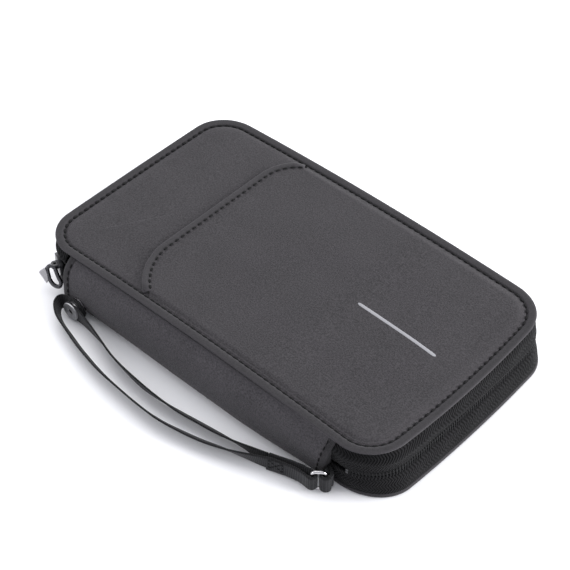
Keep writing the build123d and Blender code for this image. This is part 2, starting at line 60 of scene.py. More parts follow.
# The end arc is centred on the X axis and touches the corner arcs.
END_X = (_INNER**2 - CORNER_X**2 - CORNER_Y**2) / (2 * (_INNER - CORNER_X))
END_R = TIP_X - END_X
MEET = math.degrees(math.atan2(CORNER_Y, CORNER_X - END_X))  # angle where the arcs touch
END_BOW = 2.35  # how far the bowed end falls back at the full half width
SIDE_POINTS, CORNER_POINTS, END_POINTS = 90, 26, 44

# Every path is a pair of arrays: points and outward normals.


def arc(cx, cy, radius, start, end, count):
    angles = np.radians(np.linspace(start, end, count))
    normals = np.stack([np.cos(angles), np.sin(angles)], 1)
    return np.array([cx, cy]) + radius * normals, normals


def line(start, end, count, normal):
    t = np.linspace(0, 1, count)[:, None]
    return np.array(start) * (1 - t) + np.array(end) * t, np.tile(np.array(normal, float), (count, 1))


def join(*parts):
    """Chain paths, each dropping its first point where it meets the one before."""
    return tuple(np.concatenate([parts[0][k]] + [part[k][1:] for part in parts[1:]]) for k in (0, 1))


def corner(side_x, side_y, start, end, count=CORNER_POINTS):
    return arc(side_x * CORNER_X, side_y * CORNER_Y, CORNER_R, start, end, count)


def end_arc(side_x, start, end, count=END_POINTS - 1):
    return arc(side_x * END_X, 0, END_R, start, end, count)


def long_side(side):
    """The +Y side runs towards -X and the -Y side towards +X."""
    x, y = side * CORNER_X, side * HALF_WIDTH
    return line((x, y), (-x, y), SIDE_POINTS, (0, side))


# From the +X +Y corner along +Y and round the -X end
FAR_PARTS = (
    corner(1, 1, MEET, 90), long_side(1), corner(-1, 1, 90, 180 - MEET),
    end_arc(-1, 180 - MEET, 180 + MEET),
)


def loop_path():
    """The whole outline, anticlockwise from the middle of the +X end."""
    points, normals = join(
        end_arc(1, 0, MEET, END_POINTS // 2), *FAR_PARTS, corner(-1, -1, 180 + MEET, 270),
        long_side(-1), corner(1, -1, 270, 360 - MEET), end_arc(1, -MEET, 0, END_POINTS // 2),
    )
    return points[:-1], normals[:-1]


def zip_path(start, end):
    """U path from the +X -Y corner round to the -X -Y corner, between two corner angles."""
    return join(
        corner(1, -1, start, -MEET), end_arc(1, -MEET, MEET), *FAR_PARTS,
        corner(-1, -1, 180 + MEET, end, count=40),
    )


LOOP, LOOP_NORMALS = loop_path()


def smoothstep(x, low, high):
    t = np.clip((np.asarray(x, float) - low) / (high - low), 0, 1)
    return t * t * (3 - 2 * t)


def bell(x, middle, spread):
    return np.exp(-(((x - middle) / spread) ** 2))


def top_z(x, y):
    """Height of the front cover's border: it crowns along the long sides and dips at the ends."""
    x, y = np.asarray(x, float), np.asarray(y, float)
    crown = 2.3 * np.clip(1 - (x / 84.0) ** 2, 0, 1)
    dip = 1.4 * np.clip(1 - (y / 46.0) ** 2, 0, 1) * smoothstep(np.abs(x), 62, 99)
    return 25.4 + crown - dip


def above_top(rise):
    return lambda x, y: top_z(x, y) + rise


def flare(normals):
    """How far the gusset leans out at the bottom: most at the +X end, less at the -X end."""
    endwise = normals[:, 0] ** 2
    share = np.where(normals[:, 0] < 0, 0.3, 1.0)
    at_ends = share * (4.5 * endwise**2 + 3.0 * endwise * (1 - endwise))
    return at_ends + 1.1 * np.clip(normals[:, 1], 0, 1) ** 2


LEAN_Z = [0, 1, 3, 7, 10, 11.5, 13, 18, 23]
LEAN_SHARE = [1, 1, 0.9, 0.62, 0.42, 0.35, 0.28, 0.12, 0.0]


def lean(z):
    """Share of the flare left at a height."""
    return np.interp(z, LEAN_Z, LEAN_SHARE)


def border_distance(x, y):
    """Distance inwards from the outline."""
    x, y = np.abs(x), np.abs(y)
    in_corner = CORNER_R - np.hypot(np.clip(x - CORNER_X, 0, None), np.clip(y - CORNER_Y, 0, None))
    side = np.minimum(HALF_WIDTH - y, TIP_X - END_BOW * (y / HALF_WIDTH) ** 2 - x)
    return np.where((x > CORNER_X) & (y > CORNER_Y), in_corner, side)


# --------------------------------------------------------------- mesh tools
def make(name, points, faces, material, uv=None, merge=None):
    """Smooth-shaded object from millimetre points; merge is a welding distance."""
    mesh = bpy.data.meshes.new(name)
    mesh.from_pydata((np.asarray(points, float) * 0.001).tolist(), [], [list(f) for f in faces])
    if uv is not None:
        layer = mesh.uv_layers.new(name="UVMap")
        index = np.zeros(len(mesh.loops), int)
        mesh.loops.foreach_get("vertex_index", index)
        layer.data.foreach_set("uv", np.asarray(uv, float)[index].ravel())
    bm = bmesh.new()
    bm.from_mesh(mesh)
    if merge:
        bmesh.ops.remove_doubles(bm, verts=bm.verts, dist=merge * 0.001)
    bmesh.ops.recalc_face_normals(bm, faces=bm.faces)
    bm.to_mesh(mesh)
    bm.free()
    mesh.polygons.foreach_set("use_smooth", [True] * len(mesh.polygons))
    ob = bpy.data.objects.new(name, mesh)
    bpy.context.scene.collection.objects.link(ob)
    mesh.materials.append(material)
    return ob


def register(ob, body=None, pieces=None):
    if pieces is not None:
        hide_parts(*pieces)
    if body:
        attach(ob, body)


def grid_faces(rows, columns, close_rows=False, close_columns=False, base=0):
    faces = []
    for i in range(rows if close_rows else rows - 1):
        for j in range(columns if close_columns else columns - 1):
            row, next_row = base + i * columns, base + ((i + 1) % rows) * columns
            next_j = (j + 1) % columns
            faces.append((row + j, row + next_j, next_row + next_j, next_row + j))
    return faces


def tube_faces(rows, columns, base=0):
    """Faces of a run of closed sections, with a cap at each end."""
    last = base + (rows - 1) * columns
    caps = [tuple(range(start, start + columns)) for start in (base, last)]
    return grid_faces(rows, columns, close_columns=True, base=base) + caps


def ringed(name, rings, material):
    """Closed soft form from closed rings, first and last collapsed onto their middle."""
    faces = grid_faces(len(rings), len(rings[0]), close_columns=True)
    return make(name, np.concatenate(rings), faces, material, merge=0.002)


def lengths(points):
    """Distance along a path at each of its points."""
    return np.concatenate([[0], np.cumsum(np.linalg.norm(np.diff(points, axis=0), axis=1))])


def sample(at, along, rows):
    """Rows interpolated at one or more distances along a path."""
    return np.stack([np.interp(at, along, column) for column in rows.T], -1)


def swept(name, points, normals, profile, material):
    """Capped sweep of a closed profile, given as (offset, z) rows for each path point."""
    count, size = profile.shape[:2]
    xy = points[:, None, :] + normals[:, None, :] * profile[:, :, :1]
    verts = np.concatenate([xy, profile[:, :, 1:2]], 2).reshape(-1, 3)
    uv = np.stack([np.repeat(lengths(points), size), profile[:, :, 1].ravel()], 1)
    return make(name, verts, tube_faces(count, size), material, uv=uv)


def at_height(xy, z):
    """Plan points lifted to z, a number or a function of x and y."""
    heights = z(xy[:, 0], xy[:, 1]) if callable(z) else np.full(len(xy), float(z))
    return np.concatenate([xy, heights[:, None]], 1)


def inset_ring(offset, z, flare_share=0.0):
    """Outline ring at an outward offset, plus a share of the bottom flare."""
    xy = LOOP + LOOP_NORMALS * (offset + flare_share * flare(LOOP_NORMALS))[:, None]
    return at_height(xy, z)


FLAT_OFFSET = -16  # ring from which a cover runs flat to its middle line
MIDDLE_HALF = 55  # half length of that middle line


def to_middle(z):
    """Rings from the flat's edge to the middle line."""
    xy = LOOP + LOOP_NORMALS * FLAT_OFFSET
    rings = []
    for t in (0.3, 0.6, 0.85, 1.0):
        x = xy[:, 0] + t * (np.clip(xy[:, 0], -MIDDLE_HALF, MIDDLE_HALF) - xy[:, 0])
        rings.append(at_height(np.stack([x, xy[:, 1] * (1 - t)], 1), z))
    return rings


def closed(ring):
    return np.concatenate([ring, ring[:1]])


def subdivide(ob):
    modifier = ob.modifiers.new("smooth", "SUBSURF")
    modifier.levels = modifier.render_levels = 1


def round_edges(ob, width, segments, angle):
    modifier = ob.modifiers.new("edge", "BEVEL")
    modifier.width = width
    modifier.segments = segments
    modifier.limit_method = "ANGLE"
    modifier.angle_limit = math.radians(angle)


# ---------------------------------------------------------------- materials
class Shader:
    """A node material with short ways to add nodes to it."""

    def __init__(self, name):
        self.material = bpy.data.materials.new(name)
        self.material.use_nodes = True
        self.tree = self.material.node_tree
        self.surface = self.tree.nodes["Principled BSDF"]
        self.coords = self.node("ShaderNodeTexCoord").outputs

    def feed(self, node, inputs):
        """Set or link a node's inputs, given by name or index."""
        for key, value in inputs.items():
            if isinstance(value, bpy.types.NodeSocket):
                self.tree.links.new(value, node.inputs[key])
            else:
                node.inputs[key].default_value = value

    def node(self, kind, inputs=None, **settings):
        node = self.tree.nodes.new(kind)
        for key, value in settings.items():
            setattr(node, key, value)
        self.feed(node, inputs or {})
        return node

    def math(self, operation, *values):
        inputs = dict(enumerate(values))
        return self.node("ShaderNodeMath", inputs, operation=operation).outputs[0]

    def add(self, a, b):
        return self.math("ADD", a, b)

    def scale(self, a, b):
        return self.math("MULTIPLY", a, b)

    def sine(self, a):
        return self.math("SINE", a)

    def mix(self, factor, a, b):
        a, b = ((*v, 1.0) if isinstance(v, tuple) else v for v in (a, b))
        return self.node("ShaderNodeMix", {0: factor, 6: a, 7: b}, data_type="RGBA").outputs[2]

    def noise(self, scale, detail=2.0, rough=0.55, vector=None):
        vector = vector or self.coords["Object"]
        inputs = {"Scale": scale, "Detail": detail, "Roughness": rough, "Vector": vector}
        return self.node("ShaderNodeTexNoise", inputs).outputs["Fac"]

    def ramp(self, value, low, high):
        return self.node("ShaderNodeMapRange", {0: value, 1: low, 2: high}).outputs[0]

    def split(self, space):
        return self.node("ShaderNodeSeparateXYZ", {0: self.coords[space]}).outputs

    def edges(self, low, high):
        """Rises from 0 to 1 on convex edges."""
        pointiness = self.node("ShaderNodeNewGeometry").outputs["Pointiness"]
        return self.ramp(pointiness, low=low, high=high)

    def bump(self, height, strength, distance):
        inputs = {"Height": height, "Strength": strength, "Distance": distance}
        self.feed(self.surface, {"Normal": self.node("ShaderNodeBump", inputs).outputs[0]})


def weave_height(sh, kind, pitch, x, y, z):
    """Thread relief from sines: plain and twill in object space, rib along the UV."""
    if kind == "rib":
        return sh.sine(sh.scale(x, 2 * math.pi / pitch))
    wave = 2 * math.pi / (pitch * 0.001)
    if kind == "plain":
        warp = sh.scale(sh.add(x, sh.scale(z, 0.5)), wave)
        weft = sh.scale(sh.add(y, z), wave)
        return sh.scale(sh.sine(warp), sh.sine(weft))
    shift, fold, steepness = 0.0, 0.0021, 1.1  # the twill's lines turn back at each fold in z
    zigzag = sh.math("PINGPONG", sh.add(z, shift), fold)
    return sh.sine(sh.add(sh.scale(sh.add(x, y), wave), sh.scale(zigzag, wave * steepness)))


def fabric(name, dark, light, pitch=0.55, kind="plain", bump=0.00012, rough=0.82, sheen=0.35,
           edge=0.0, mottle=0.5, spec=0.25):
    """Woven cloth: thread relief, thread-to-thread colour change, sheen and a painted highlight on
    convex edges.
    """
    sh = Shader(name)
    x, y, z = sh.split("UV" if kind == "rib" else "Object")
    relief = weave_height(sh, kind, pitch, x, y, z)
    fine = sh.noise(scale=2600.0)
    thread = sh.noise(scale=1500.0, detail=1.5, rough=0.6)
    broad = sh.noise(scale=45.0, detail=3.0)

    mid_tone, broad_share = 0.47, 0.1
    weave_share = 0.8 if kind == "twill" else 0.25
    darkest = mid_tone - mottle / 2 - weave_share / 2 - broad_share / 2
    tone = sh.add(darkest, sh.scale(sh.ramp(thread, low=0.32, high=0.68), mottle))
    tone = sh.add(tone, sh.scale(sh.ramp(relief, low=-1, high=1), weave_share))
    tone = sh.add(tone, sh.scale(sh.ramp(broad, low=0.35, high=0.65), broad_share))
    colour = sh.mix(tone, dark, light)
    if kind == "rib":
        # dark selvedges, by distance from the webbing's middle
        middle, selvedge = 0.0, (0.006, 0.006, 0.007)
        across = sh.math("ABSOLUTE", sh.math("SUBTRACT", y, middle))
        colour = sh.mix(sh.ramp(across, low=0.72, high=0.84), colour, selvedge)
    # painted highlight: convex edges lightened towards a brighter copy of the light colour
    if edge:
        bright_edge_colour = tuple(min(1, c * 1.9) for c in light)
        colour = sh.mix(sh.scale(sh.edges(low=0.5, high=0.56), edge), colour, bright_edge_colour)

    relief_share, fine_share, thread_share = 0.5, 0.7, 0.8
    grain = sh.add(sh.scale(fine, fine_share), sh.scale(thread, thread_share))
    sh.bump(sh.add(sh.scale(relief, relief_share), grain), strength=0.7, distance=bump)
    rough_range = 0.16
    sh.feed(sh.surface, {
        "Base Color": colour,
        "Roughness": sh.add(rough - rough_range / 2, sh.scale(thread, rough_range)),
        "Sheen Weight": sheen,
        "Sheen Roughness": 0.45,
        "Specular IOR Level": spec,
    })
    return sh.material


def metal(name, colour, rough, bright_edge_colour=None, metallic=1.0, spec=0.5):
    """Metal or lacquer with fine scratches, smudges and brighter worn edges."""
    sh = Shader(name)
    stretched = sh.node("ShaderNodeMapping", {"Scale": (1, 1, 9), "Vector": sh.coords["Object"]})
    scratches = sh.noise(scale=700.0, detail=4.0, rough=0.7, vector=stretched.outputs[0])
    smudges = sh.noise(scale=160.0, detail=3.0)
    smudged, wear, scratch_range = tuple(c * 0.8 for c in colour), 0.8, 0.24
    bright_edge_colour = bright_edge_colour or tuple(min(1, c * 1.35) for c in colour)
    factor = sh.scale(sh.edges(low=0.505, high=0.6), wear)
    centred = sh.math("SUBTRACT", scratches, 0.5)
    sh.feed(sh.surface, {
        "Base Color": sh.mix(factor, sh.mix(smudges, smudged, colour), bright_edge_colour),
        "Metallic": metallic,
        "Specular IOR Level": spec,
        "Roughness": sh.add(rough, sh.scale(centred, scratch_range)),
    })
    sh.bump(scratches, strength=0.35, distance=0.00003)
    return sh.material


# edge sets the strength of the painted highlight on convex edges
COVER = fabric("cover_fabric", dark=(0.0105, 0.0096, 0.0110), light=(0.0455, 0.0420, 0.0462),
               edge=0.3, sheen=0.1, mottle=0.7)
BINDING = fabric("binding_fabric", dark=(0.0064, 0.0060, 0.0068), light=(0.0288, 0.0268, 0.0297),
                 edge=0.6, bump=0.0001, sheen=0.1, mottle=0.6)
SPINE = fabric("spine_fabric", dark=(0.0185, 0.0172, 0.0194), light=(0.0740, 0.0690, 0.0758),
               edge=0.2, sheen=0.1, mottle=0.6)
TAPE = fabric("tape_twill", dark=(0.0004, 0.0004, 0.0005), light=(0.0120, 0.0118, 0.0130),
              pitch=1.75, kind="twill", bump=0.00045, sheen=0.03, mottle=0.25, spec=0.11)
LINING = fabric("lining_fabric", dark=(0.07, 0.07, 0.078), light=(0.115, 0.115, 0.125),
                pitch=0.4, bump=0.00006, sheen=0.25, rough=0.65)
HEM = fabric("hem_fabric", dark=(0.05, 0.05, 0.056), light=(0.085, 0.085, 0.093),
             pitch=0.5, bump=0.0001)
WEBBING = fabric("webbing_rib", dark=(0.004, 0.004, 0.005), light=(0.026, 0.026, 0.029),
                 pitch=0.9, kind="rib", bump=0.00025, sheen=0.12, mottle=0.3)
THREAD = fabric("stitch_thread", dark=(0.0006, 0.0006, 0.0008), light=(0.0040, 0.0040, 0.0046),
                pitch=0.5, kind="twill", bump=0.00006, sheen=0.0, rough=0.8)
COIL = metal("nylon_coil", colour=(0.0032, 0.0032, 0.0036), rough=0.72, metallic=0.0,
             bright_edge_colour=(0.008, 0.008, 0.009), spec=0.2)
BLACK = metal("black_lacquer", colour=(0.006, 0.006, 0.007), rough=0.34, metallic=0.15,
              bright_edge_colour=(0.03, 0.03, 0.033))
STEEL = metal("nickel_wire", colour=(0.55, 0.54, 0.55), rough=0.24)
GUNMETAL = metal("gunmetal", colour=(0.05, 0.05, 0.054), rough=0.26, bright_edge_colour=(0.16, 0.16, 0.17))
PEWTER = metal("pewter_disc", colour=(0.34, 0.34, 0.35), rough=0.45, bright_edge_colour=(0.6, 0.6, 0.62),
               metallic=0.65)
PRINT = fabric("grey_print", dark=(0.19, 0.19, 0.2), light=(0.3, 0.3, 0.32),
               pitch=0.5, bump=0.00004, sheen=0.0, rough=0.5, mottle=0.25)

# ----------------------------------------------------------------- stitches
UP, DOWN = (0, 0, 1), (0, 0, -1)


def stitches(name, points, up, body, pitch=3.45, length=2.35, radius=0.44, lift=0.05):
    """Thread stitches along a 3-D line: flattened capsules that dip in at their ends.

    up is one direction, or one for each point.
    """
    points = np.asarray(points, float)
    ups = np.broadcast_to(np.asarray(up, float), points.shape)
    along = lengths(points)
    total = along[-1]
    around, stations = 6, 7
    wide, flat, dip = 1.25, 0.75, 0.22  # section factors, and how far the ends sink
    verts, faces = [], []
    count = max(1, int(total / pitch))
    for k in range(count):
        middle = (k + 0.5) * total / count
        before, after = (sample(np.clip(middle + d, 0, total), along, points) for d in (-0.2, 0.2))
        tangent = (after - before) / (np.linalg.norm(after - before) + 1e-9)
        faces += tube_faces(stations, around, base=len(verts))
        for i in range(stations):
            f = i / (stations - 1) * 2 - 1
            at = np.clip(middle + f * length / 2, 0, total)
            point, normal = sample(at, along, points), sample(at, along, ups)
            normal = normal / (np.linalg.norm(normal) + 1e-9)
            side = np.cross(tangent, normal)
            r = radius * math.sqrt(max(0.05, 1 - f**4))
            for j in range(around):
                a = 2 * math.pi * j / around
                rise = r * flat * math.sin(a) - dip * f**4 + lift
                verts.append(point + side * r * wide * math.cos(a) + normal * rise)
    ob = make(name, verts, faces, THREAD)
    register(ob, body)
    return ob


# -------------------------------------------------------------- front cover
BORDER = 4.2  # width of the binding band
FRONT_UNDERSIDE = 21.85
BAND_LOWEST = 22.3
# Edge section from the outside in: (offset, height above top_z)
FRONT_EDGE = [
    (-2.2, -2.0), (-1.6, -1.6), (-0.9, -1.2), (-0.3, -0.85), (0.05, -0.5), (0.12, -0.2),
    (-0.1, 0.04), (-0.6, 0.14), (-1.3, 0.16), (-2.4, 0.12), (-3.1, 0.03), (-3.5, -0.15),
    (-3.8, -0.5), (-4.15, -0.75), (-4.5, -0.72), (-4.9, -0.4), (-5.6, -0.16), (-7.5, -0.03),
    (-11, 0.03), (-16, 0.08),
]


def front_cover():
    rings = to_middle(FRONT_UNDERSIDE)[::-1] + [inset_ring(FLAT_OFFSET, FRONT_UNDERSIDE)]
    rings += [inset_ring(-2.6, FRONT_UNDERSIDE), inset_ring(-2.5, 22.4)]
    rings += [inset_ring(offset, above_top(rise)) for offset, rise in FRONT_EDGE]
    rings += to_middle(above_top(0.12))
    ob = ringed("front_cover_skin", rings, COVER)
    ob.data.materials.append(BINDING)
    for face in ob.data.polygons:
        x, y, z = face.center * 1000
        if border_distance(x, y) < BORDER and z > BAND_LOWEST:
            face.material_index = 1
    register(ob, "front_cover", (
        "front_cover_panel", "front_edge_binding", "front_foam_pad", "front_stiffener_board"))
    seam = closed(inset_ring(-4.0, above_top(-0.3)))
    stitches("front_border_stitches", seam, UP, "front_cover", length=2.5, radius=0.5)


# -------------------------------------------------------------- slip pocket
def arc_through(a, b, c, count):
    """Points on the circle through three points, from a to c."""
    (ax, ay), (bx, by), (cx, cy) = a, b, c
    aa, bb, cc = ax**2 + ay**2, bx**2 + by**2, cx**2 + cy**2
    d = 2 * (ax * (by - cy) + bx * (cy - ay) + cx * (ay - by))
    x = (aa * (by - cy) + bb * (cy - ay) + cc * (ay - by)) / d
    y = (aa * (cx - bx) + bb * (ax - cx) + cc * (bx - ax)) / d
    start, _, end = np.unwrap([math.atan2(q[1] - y, q[0] - x) for q in (a, b, c)])
    return arc(x, y, math.hypot(ax - x, ay - y), math.degrees(start), math.degrees(end), count)[0]


# The mouth is near the -X end: a straight run between two curves.
MOUTH_X, MOUTH_Y0, MOUTH_Y1 = -49.8, -29.0, 35.0
MOUTH = np.concatenate([
    arc_through((-32.2, -55.3), (-45.4, -42.3), (MOUTH_X, MOUTH_Y0), 40),
    np.stack([np.full(60, MOUTH_X), np.linspace(MOUTH_Y0, MOUTH_Y1, 60)], 1)[1:],
    arc_through((MOUTH_X, MOUTH_Y1), (-45.1, 48.6), (-30.4, 56.9), 40)[1:],
])
POCKET_INSET = 4.35
POCKET_HALF = HALF_WIDTH - POCKET_INSET
POCKET_END = inset_ring(-POCKET_INSET, 0)
POCKET_END = POCKET_END[POCKET_END[:, 0] > 0]
POCKET_END = POCKET_END[np.argsort(POCKET_END[:, 1])]
POCKET_THICKNESS = 0.5


def mouth_x(y):
    return np.interp(y, MOUTH[:, 1], MOUTH[:, 0])


def pocket_z(x, y):
    """The pocket rises from the border and stands highest at its mouth."""
    from_mouth = np.clip(x - mouth_x(y), 0, None)
    rise = smoothstep(border_distance(x, y), BORDER, 8.0)
    return top_z(x, y) - 0.5 + rise * (0.89 + 0.55 * np.exp(-from_mouth / 14.0))


def slip_pocket():
    rows, columns = 120, 150
    across = np.linspace(0, 1, columns) ** 1.15  # closer columns near the mouth
    top = []
    for y in POCKET_HALF * np.sin(np.linspace(-math.pi / 2, math.pi / 2, rows)):
        end = np.interp(y, POCKET_END[:, 1], POCKET_END[:, 0])
        x = mouth_x(y) + (end - mouth_x(y)) * across
        ys = np.full(columns, y)
        top.append(np.stack([x, ys, pocket_z(x, ys)], 1))
    top = np.concatenate(top)
    under = top - (0, 0, POCKET_THICKNESS)
    size = len(top)
    faces = grid_faces(rows, columns)
    faces += [tuple(size + i for i in face[::-1]) for face in faces]
    rim = list(range(columns))
    rim += [i * columns + columns - 1 for i in range(1, rows)]
    rim += [(rows - 1) * columns + j for j in range(columns - 2, -1, -1)]
    rim += [i * columns for i in range(rows - 2, 0, -1)]
    faces += [(a, size + a, size + b, b) for a, b in zip(rim, rim[1:] + rim[:1])]
    ob = make("slip_pocket_sheet", np.concatenate([top, under]), faces, COVER)
    register(ob, "front_cover", ("slip_pocket_panel",))


# Rounded fold: (offset towards +X, height above the pocket)
HEM_SECTION = [
    (-0.35, -0.75), (-0.55, -0.15), (-0.4, 0.4), (0.05, 0.66), (0.8, 0.72), (2.0, 0.62),
    (2.6, 0.3), (3.2, 0.1), (3.5, -0.15), (3.4, -0.6), (1.5, -0.7),
]


def slip_pocket_hem():
    """Folded strip along the mouth, its stitches, and two tacks at each end."""
    path = MOUTH[np.abs(MOUTH[:, 1]) < POCKET_HALF - 0.1]
    tangent = np.gradient(path, axis=0)
    tangent /= np.linalg.norm(tangent, axis=1)[:, None]
    normals = np.stack([tangent[:, 1], -tangent[:, 0]], 1)
    normals *= np.sign(normals[:, :1] + 1e-9)  # towards +X
    profile = np.zeros((len(path), len(HEM_SECTION), 2))
    for j, (offset, rise) in enumerate(HEM_SECTION):
        x, y = (path + normals * max(offset, 0.0)).T
        profile[:, j, 0] = offset
        profile[:, j, 1] = pocket_z(x, y) + rise
    ob = swept("slip_pocket_hem", path, normals, profile, BINDING)
    register(ob, "front_cover", ("slip_pocket_binding",))

    x, y = (path + normals * 2.95).T
    seam = np.stack([x, y, pocket_z(x, y) + 0.4], 1)
    stitches("slip_pocket_stitches", seam, UP, "front_cover")
    t = np.linspace(0, 1, 8)
    for k, side in enumerate((-1, 1)):
        y = side * (POCKET_HALF - 1.2)
        x = mouth_x(y) - 0.3
        z = pocket_z(x + 0.8 + 3 * t, np.full(len(t), y)) + 0.45
        for i, step in enumerate((0.0, 0.55)):
            tack = np.stack([x + 0.2 + 3.4 * t, np.full(len(t), y - side * step), z], 1)
            stitches(f"slip_pocket_tack_{k}{i}", tack, UP, "front_cover",
                     pitch=1.7, length=1.5, radius=0.24)


def printed_bar():
    """Plain raised bar on the pocket, with narrowed ends."""
    middle_x, middle_y, length, width, thickness = 57.0, 3.0, 42.0, 1.5, 0.09
    columns = 60
    verts = []
    for i in range(columns):
        x = middle_x - length / 2 + length * i / (columns - 1)
        taper = min(1.0, max(0.05, 44 * min(i, columns - 1 - i) / columns))
        half = width / 2 * math.sqrt(taper)
        for side in (-1, -0.5, 0.5, 1):
            y = middle_y + side * half
            verts.append((x, y, pocket_z(x, y) + (thickness if abs(side) < 1 else 0.0)))
    ob = make("printed_bar", verts, grid_faces(columns, 4), PRINT)
    register(ob, "front_cover")


# --------------------------------------------------------------- back cover
BACK_INSIDE, BACK_OUTSIDE = 3.62, 0.22
# From the inside face round the edge to the outside face: (offset, z, share of flare)
BACK_EDGE = [
    (-16, BACK_INSIDE, 0), (-1.6, BACK_INSIDE, 0), (-1.0, 3.2, 0), (-0.9, 2.6, 0),
    (-0.5, 2.2, 0.8), (-0.1, 1.95, 0.92), (0.0, 1.5, 0.98), (0.05, 1.0, 1.0),
    (-0.1, 0.45, 1.0), (-0.5, 0.1, 1.0), (-1.2, 0.02, 1.0), (-2.5, 0.02, 0.9),
    (-4.2, 0.06, 0.6), (-4.6, 0.4, 0.6), (-5.2, 0.36, 0.5), (-8, 0.25, 0.3),
    (-16, BACK_OUTSIDE, 0),
]


def back_cover():
    rings = to_middle(BACK_INSIDE)[::-1]
    rings += [inset_ring(*station) for station in BACK_EDGE] + to_middle(BACK_OUTSIDE)
    ob = ringed("back_cover_skin", rings, BINDING)
    register(ob, "back_cover", (
        "back_cover_panel", "back_edge_binding", "back_foam_pad", "back_stiffener_board"))
    seam = closed(inset_ring(-3.8, 0.1, 0.7))
    stitches("back_border_stitches", seam, DOWN, "back_cover", lift=0.0)


# -------------------------------------------------------------- zip gussets
GUSSET_THICKNESS = 0.9
GUSSET, GUSSET_NORMALS = join(
    line((75.0, -HALF_WIDTH), (CORNER_X, -HALF_WIDTH), 8, (0, -1)), zip_path(-87.5, 267.5),
)
# Height fractions of the wall's stations
GUSSET_STATIONS = (0, 0.06, 0.14, 0.24, 0.34, 0.44, 0.54, 0.64, 0.74, 0.84, 0.93, 1.0)
# Height of the soft crease by y where x > 60; elsewhere it keeps the first height
CREASE_Y = [-60, -56, -40, 0, 40, 58]
CREASE_Z = [20, 20, 19, 15.5, 14, 16]


def gusset(name, low, high, swell, crease, seed, body, piece):
    """Wrinkled fabric wall between two edge heights, each a number or one per path point."""
    phase = np.random.default_rng(seed).uniform(0, 6.28, 5)
    along = lengths(GUSSET)
    x, y = GUSSET.T
    crease_z = np.interp(np.where(x > 60, y, -60), CREASE_Y, CREASE_Z)
    count = len(GUSSET_STATIONS)
    profile = np.zeros((len(GUSSET), 2 * count, 2))
    for j, f in enumerate(GUSSET_STATIONS):
        z = low + (high - low) * f
        arch = math.sin(math.pi * f)
        wrinkle = (0.16 * np.sin(along / 5.3 + phase[0] + 2.5 * f)
                   + 0.12 * np.sin(along / 3.1 + phase[1] - 3 * f)
                   + 0.14 * np.sin(along / 11.0 + phase[2]))
        bulge = swell * arch + crease * bell(z, crease_z, 1.5) * arch**0.5 + 0.1
        tuck = -0.45 - 1.9 * smoothstep(z, 18.5, 24.0)
        offset = tuck + lean(z) * flare(GUSSET_NORMALS) + bulge + wrinkle * arch
        for column, depth in ((j, 0), (2 * count - 1 - j, GUSSET_THICKNESS)):
            profile[:, column, 0] = offset - depth
            profile[:, column, 1] = z
    ob = swept(name, GUSSET, GUSSET_NORMALS, profile, TAPE)
    register(ob, body, (piece,))


def gussets():
    x, y = GUSSET.T
    # the upper wall's lower edge lifts round the -X -Y corner
    angle = np.degrees(np.arctan2(y + CORNER_Y, x + CORNER_X)) % 360
    in_corner = (x < -CORNER_X + 0.5) & (y < -CORNER_Y + 0.5)
    lift = np.where(in_corner, smoothstep(angle, 211, 222), 0.0)
    gusset("upper_gusset", low=12.75 + 3.4 * lift, high=top_z(x, y) - 1.15, swell=0.45,
           crease=0.75, seed=3, body="front_cover", piece="upper_zip_tape")
    gusset("lower_gusset", low=1.7, high=np.full(len(GUSSET), 10.25), swell=0.5, crease=0.0,
           seed=5, body="back_cover", piece="lower_zip_tape")


COIL_PATH, COIL_NORMALS = zip_path(-76.0, 228.5)
COIL_LEAN = lean(11.5) * flare(COIL_NORMALS)
COIL_PITCH = 1.35


def coil(name, z0, z1, slant_side, body, piece):
    """Half of the zip's coil: a cord inside a run of small slanted loops."""
    around = 6
    profile = np.zeros((len(COIL_PATH), around, 2))
    for j in range(around):
        a = 2 * math.pi * j / around
        profile[:, j, 0] = -0.8 + COIL_LEAN + 0.45 * math.cos(a)
        profile[:, j, 1] = (z0 + z1) / 2 + 0.5 * math.sin(a) * (z1 - z0)
    cord = swept(name + "_cord", COIL_PATH, COIL_NORMALS, profile, COIL)
    register(cord, body)

    around, stations = 8, 5
    radius, depth = 0.48, 0.95 * 1.25  # loop radius, and its stretch across the zip
    along = lengths(COIL_PATH)
    verts, faces = [], []
    for i in range(int(along[-1] / COIL_PITCH)):
        at = (i + 0.5) * COIL_PITCH
        point = sample(at, along, COIL_PATH)
        normal = sample(at, along, COIL_NORMALS)
        normal /= np.linalg.norm(normal)
        tangent = np.array([-normal[1], normal[0]])
        offset = -0.55 + np.interp(at, along, COIL_LEAN)
        faces += tube_faces(stations, around, base=len(verts))
        for k in range(stations):
            f = k / (stations - 1)
            r = radius * (1 - 0.35 * (2 * f - 1) ** 4)
            slant = (f - 0.5) * 0.5 * slant_side
            for j in range(around):
                a = 2 * math.pi * j / around
                out = offset + depth * r * math.cos(a)
                x, y = point + normal * out + tangent * (slant + r * math.sin(a))
                verts.append((x, y, z0 + (z1 - z0) * f))
    register(make(name, verts, faces, COIL), body, (piece,))


# -------------------------------------------------------------------- spine
SPINE_HALF = 77.0
SPINE_HEIGHT = 24.0
# Outer face from top to bottom: heights, y along most of the length, y at the +X end
SPINE_Z = np.array([
    SPINE_HEIGHT, 22.6, 20.9, 19.2, 17.4, 15.6, 13.4, 11.0, 8.6, 6.4, 4.4, 2.9, 1.7, 1.0])
SPINE_Y = np.array([-57.3, -58.9, -60.9, -62.1, -62.95, -63.55, -64.0, -64.2, -64.25, -64.2,
                    -63.9, -63.1, -61.8, -60.2])
SPINE_Y_END = np.array([-57.0, -57.6, -58.2, -59.1, -60.0, -60.7, -61.3, -61.6, -61.75, -61.7,
                        -61.4, -60.9, -60.2, -59.2])
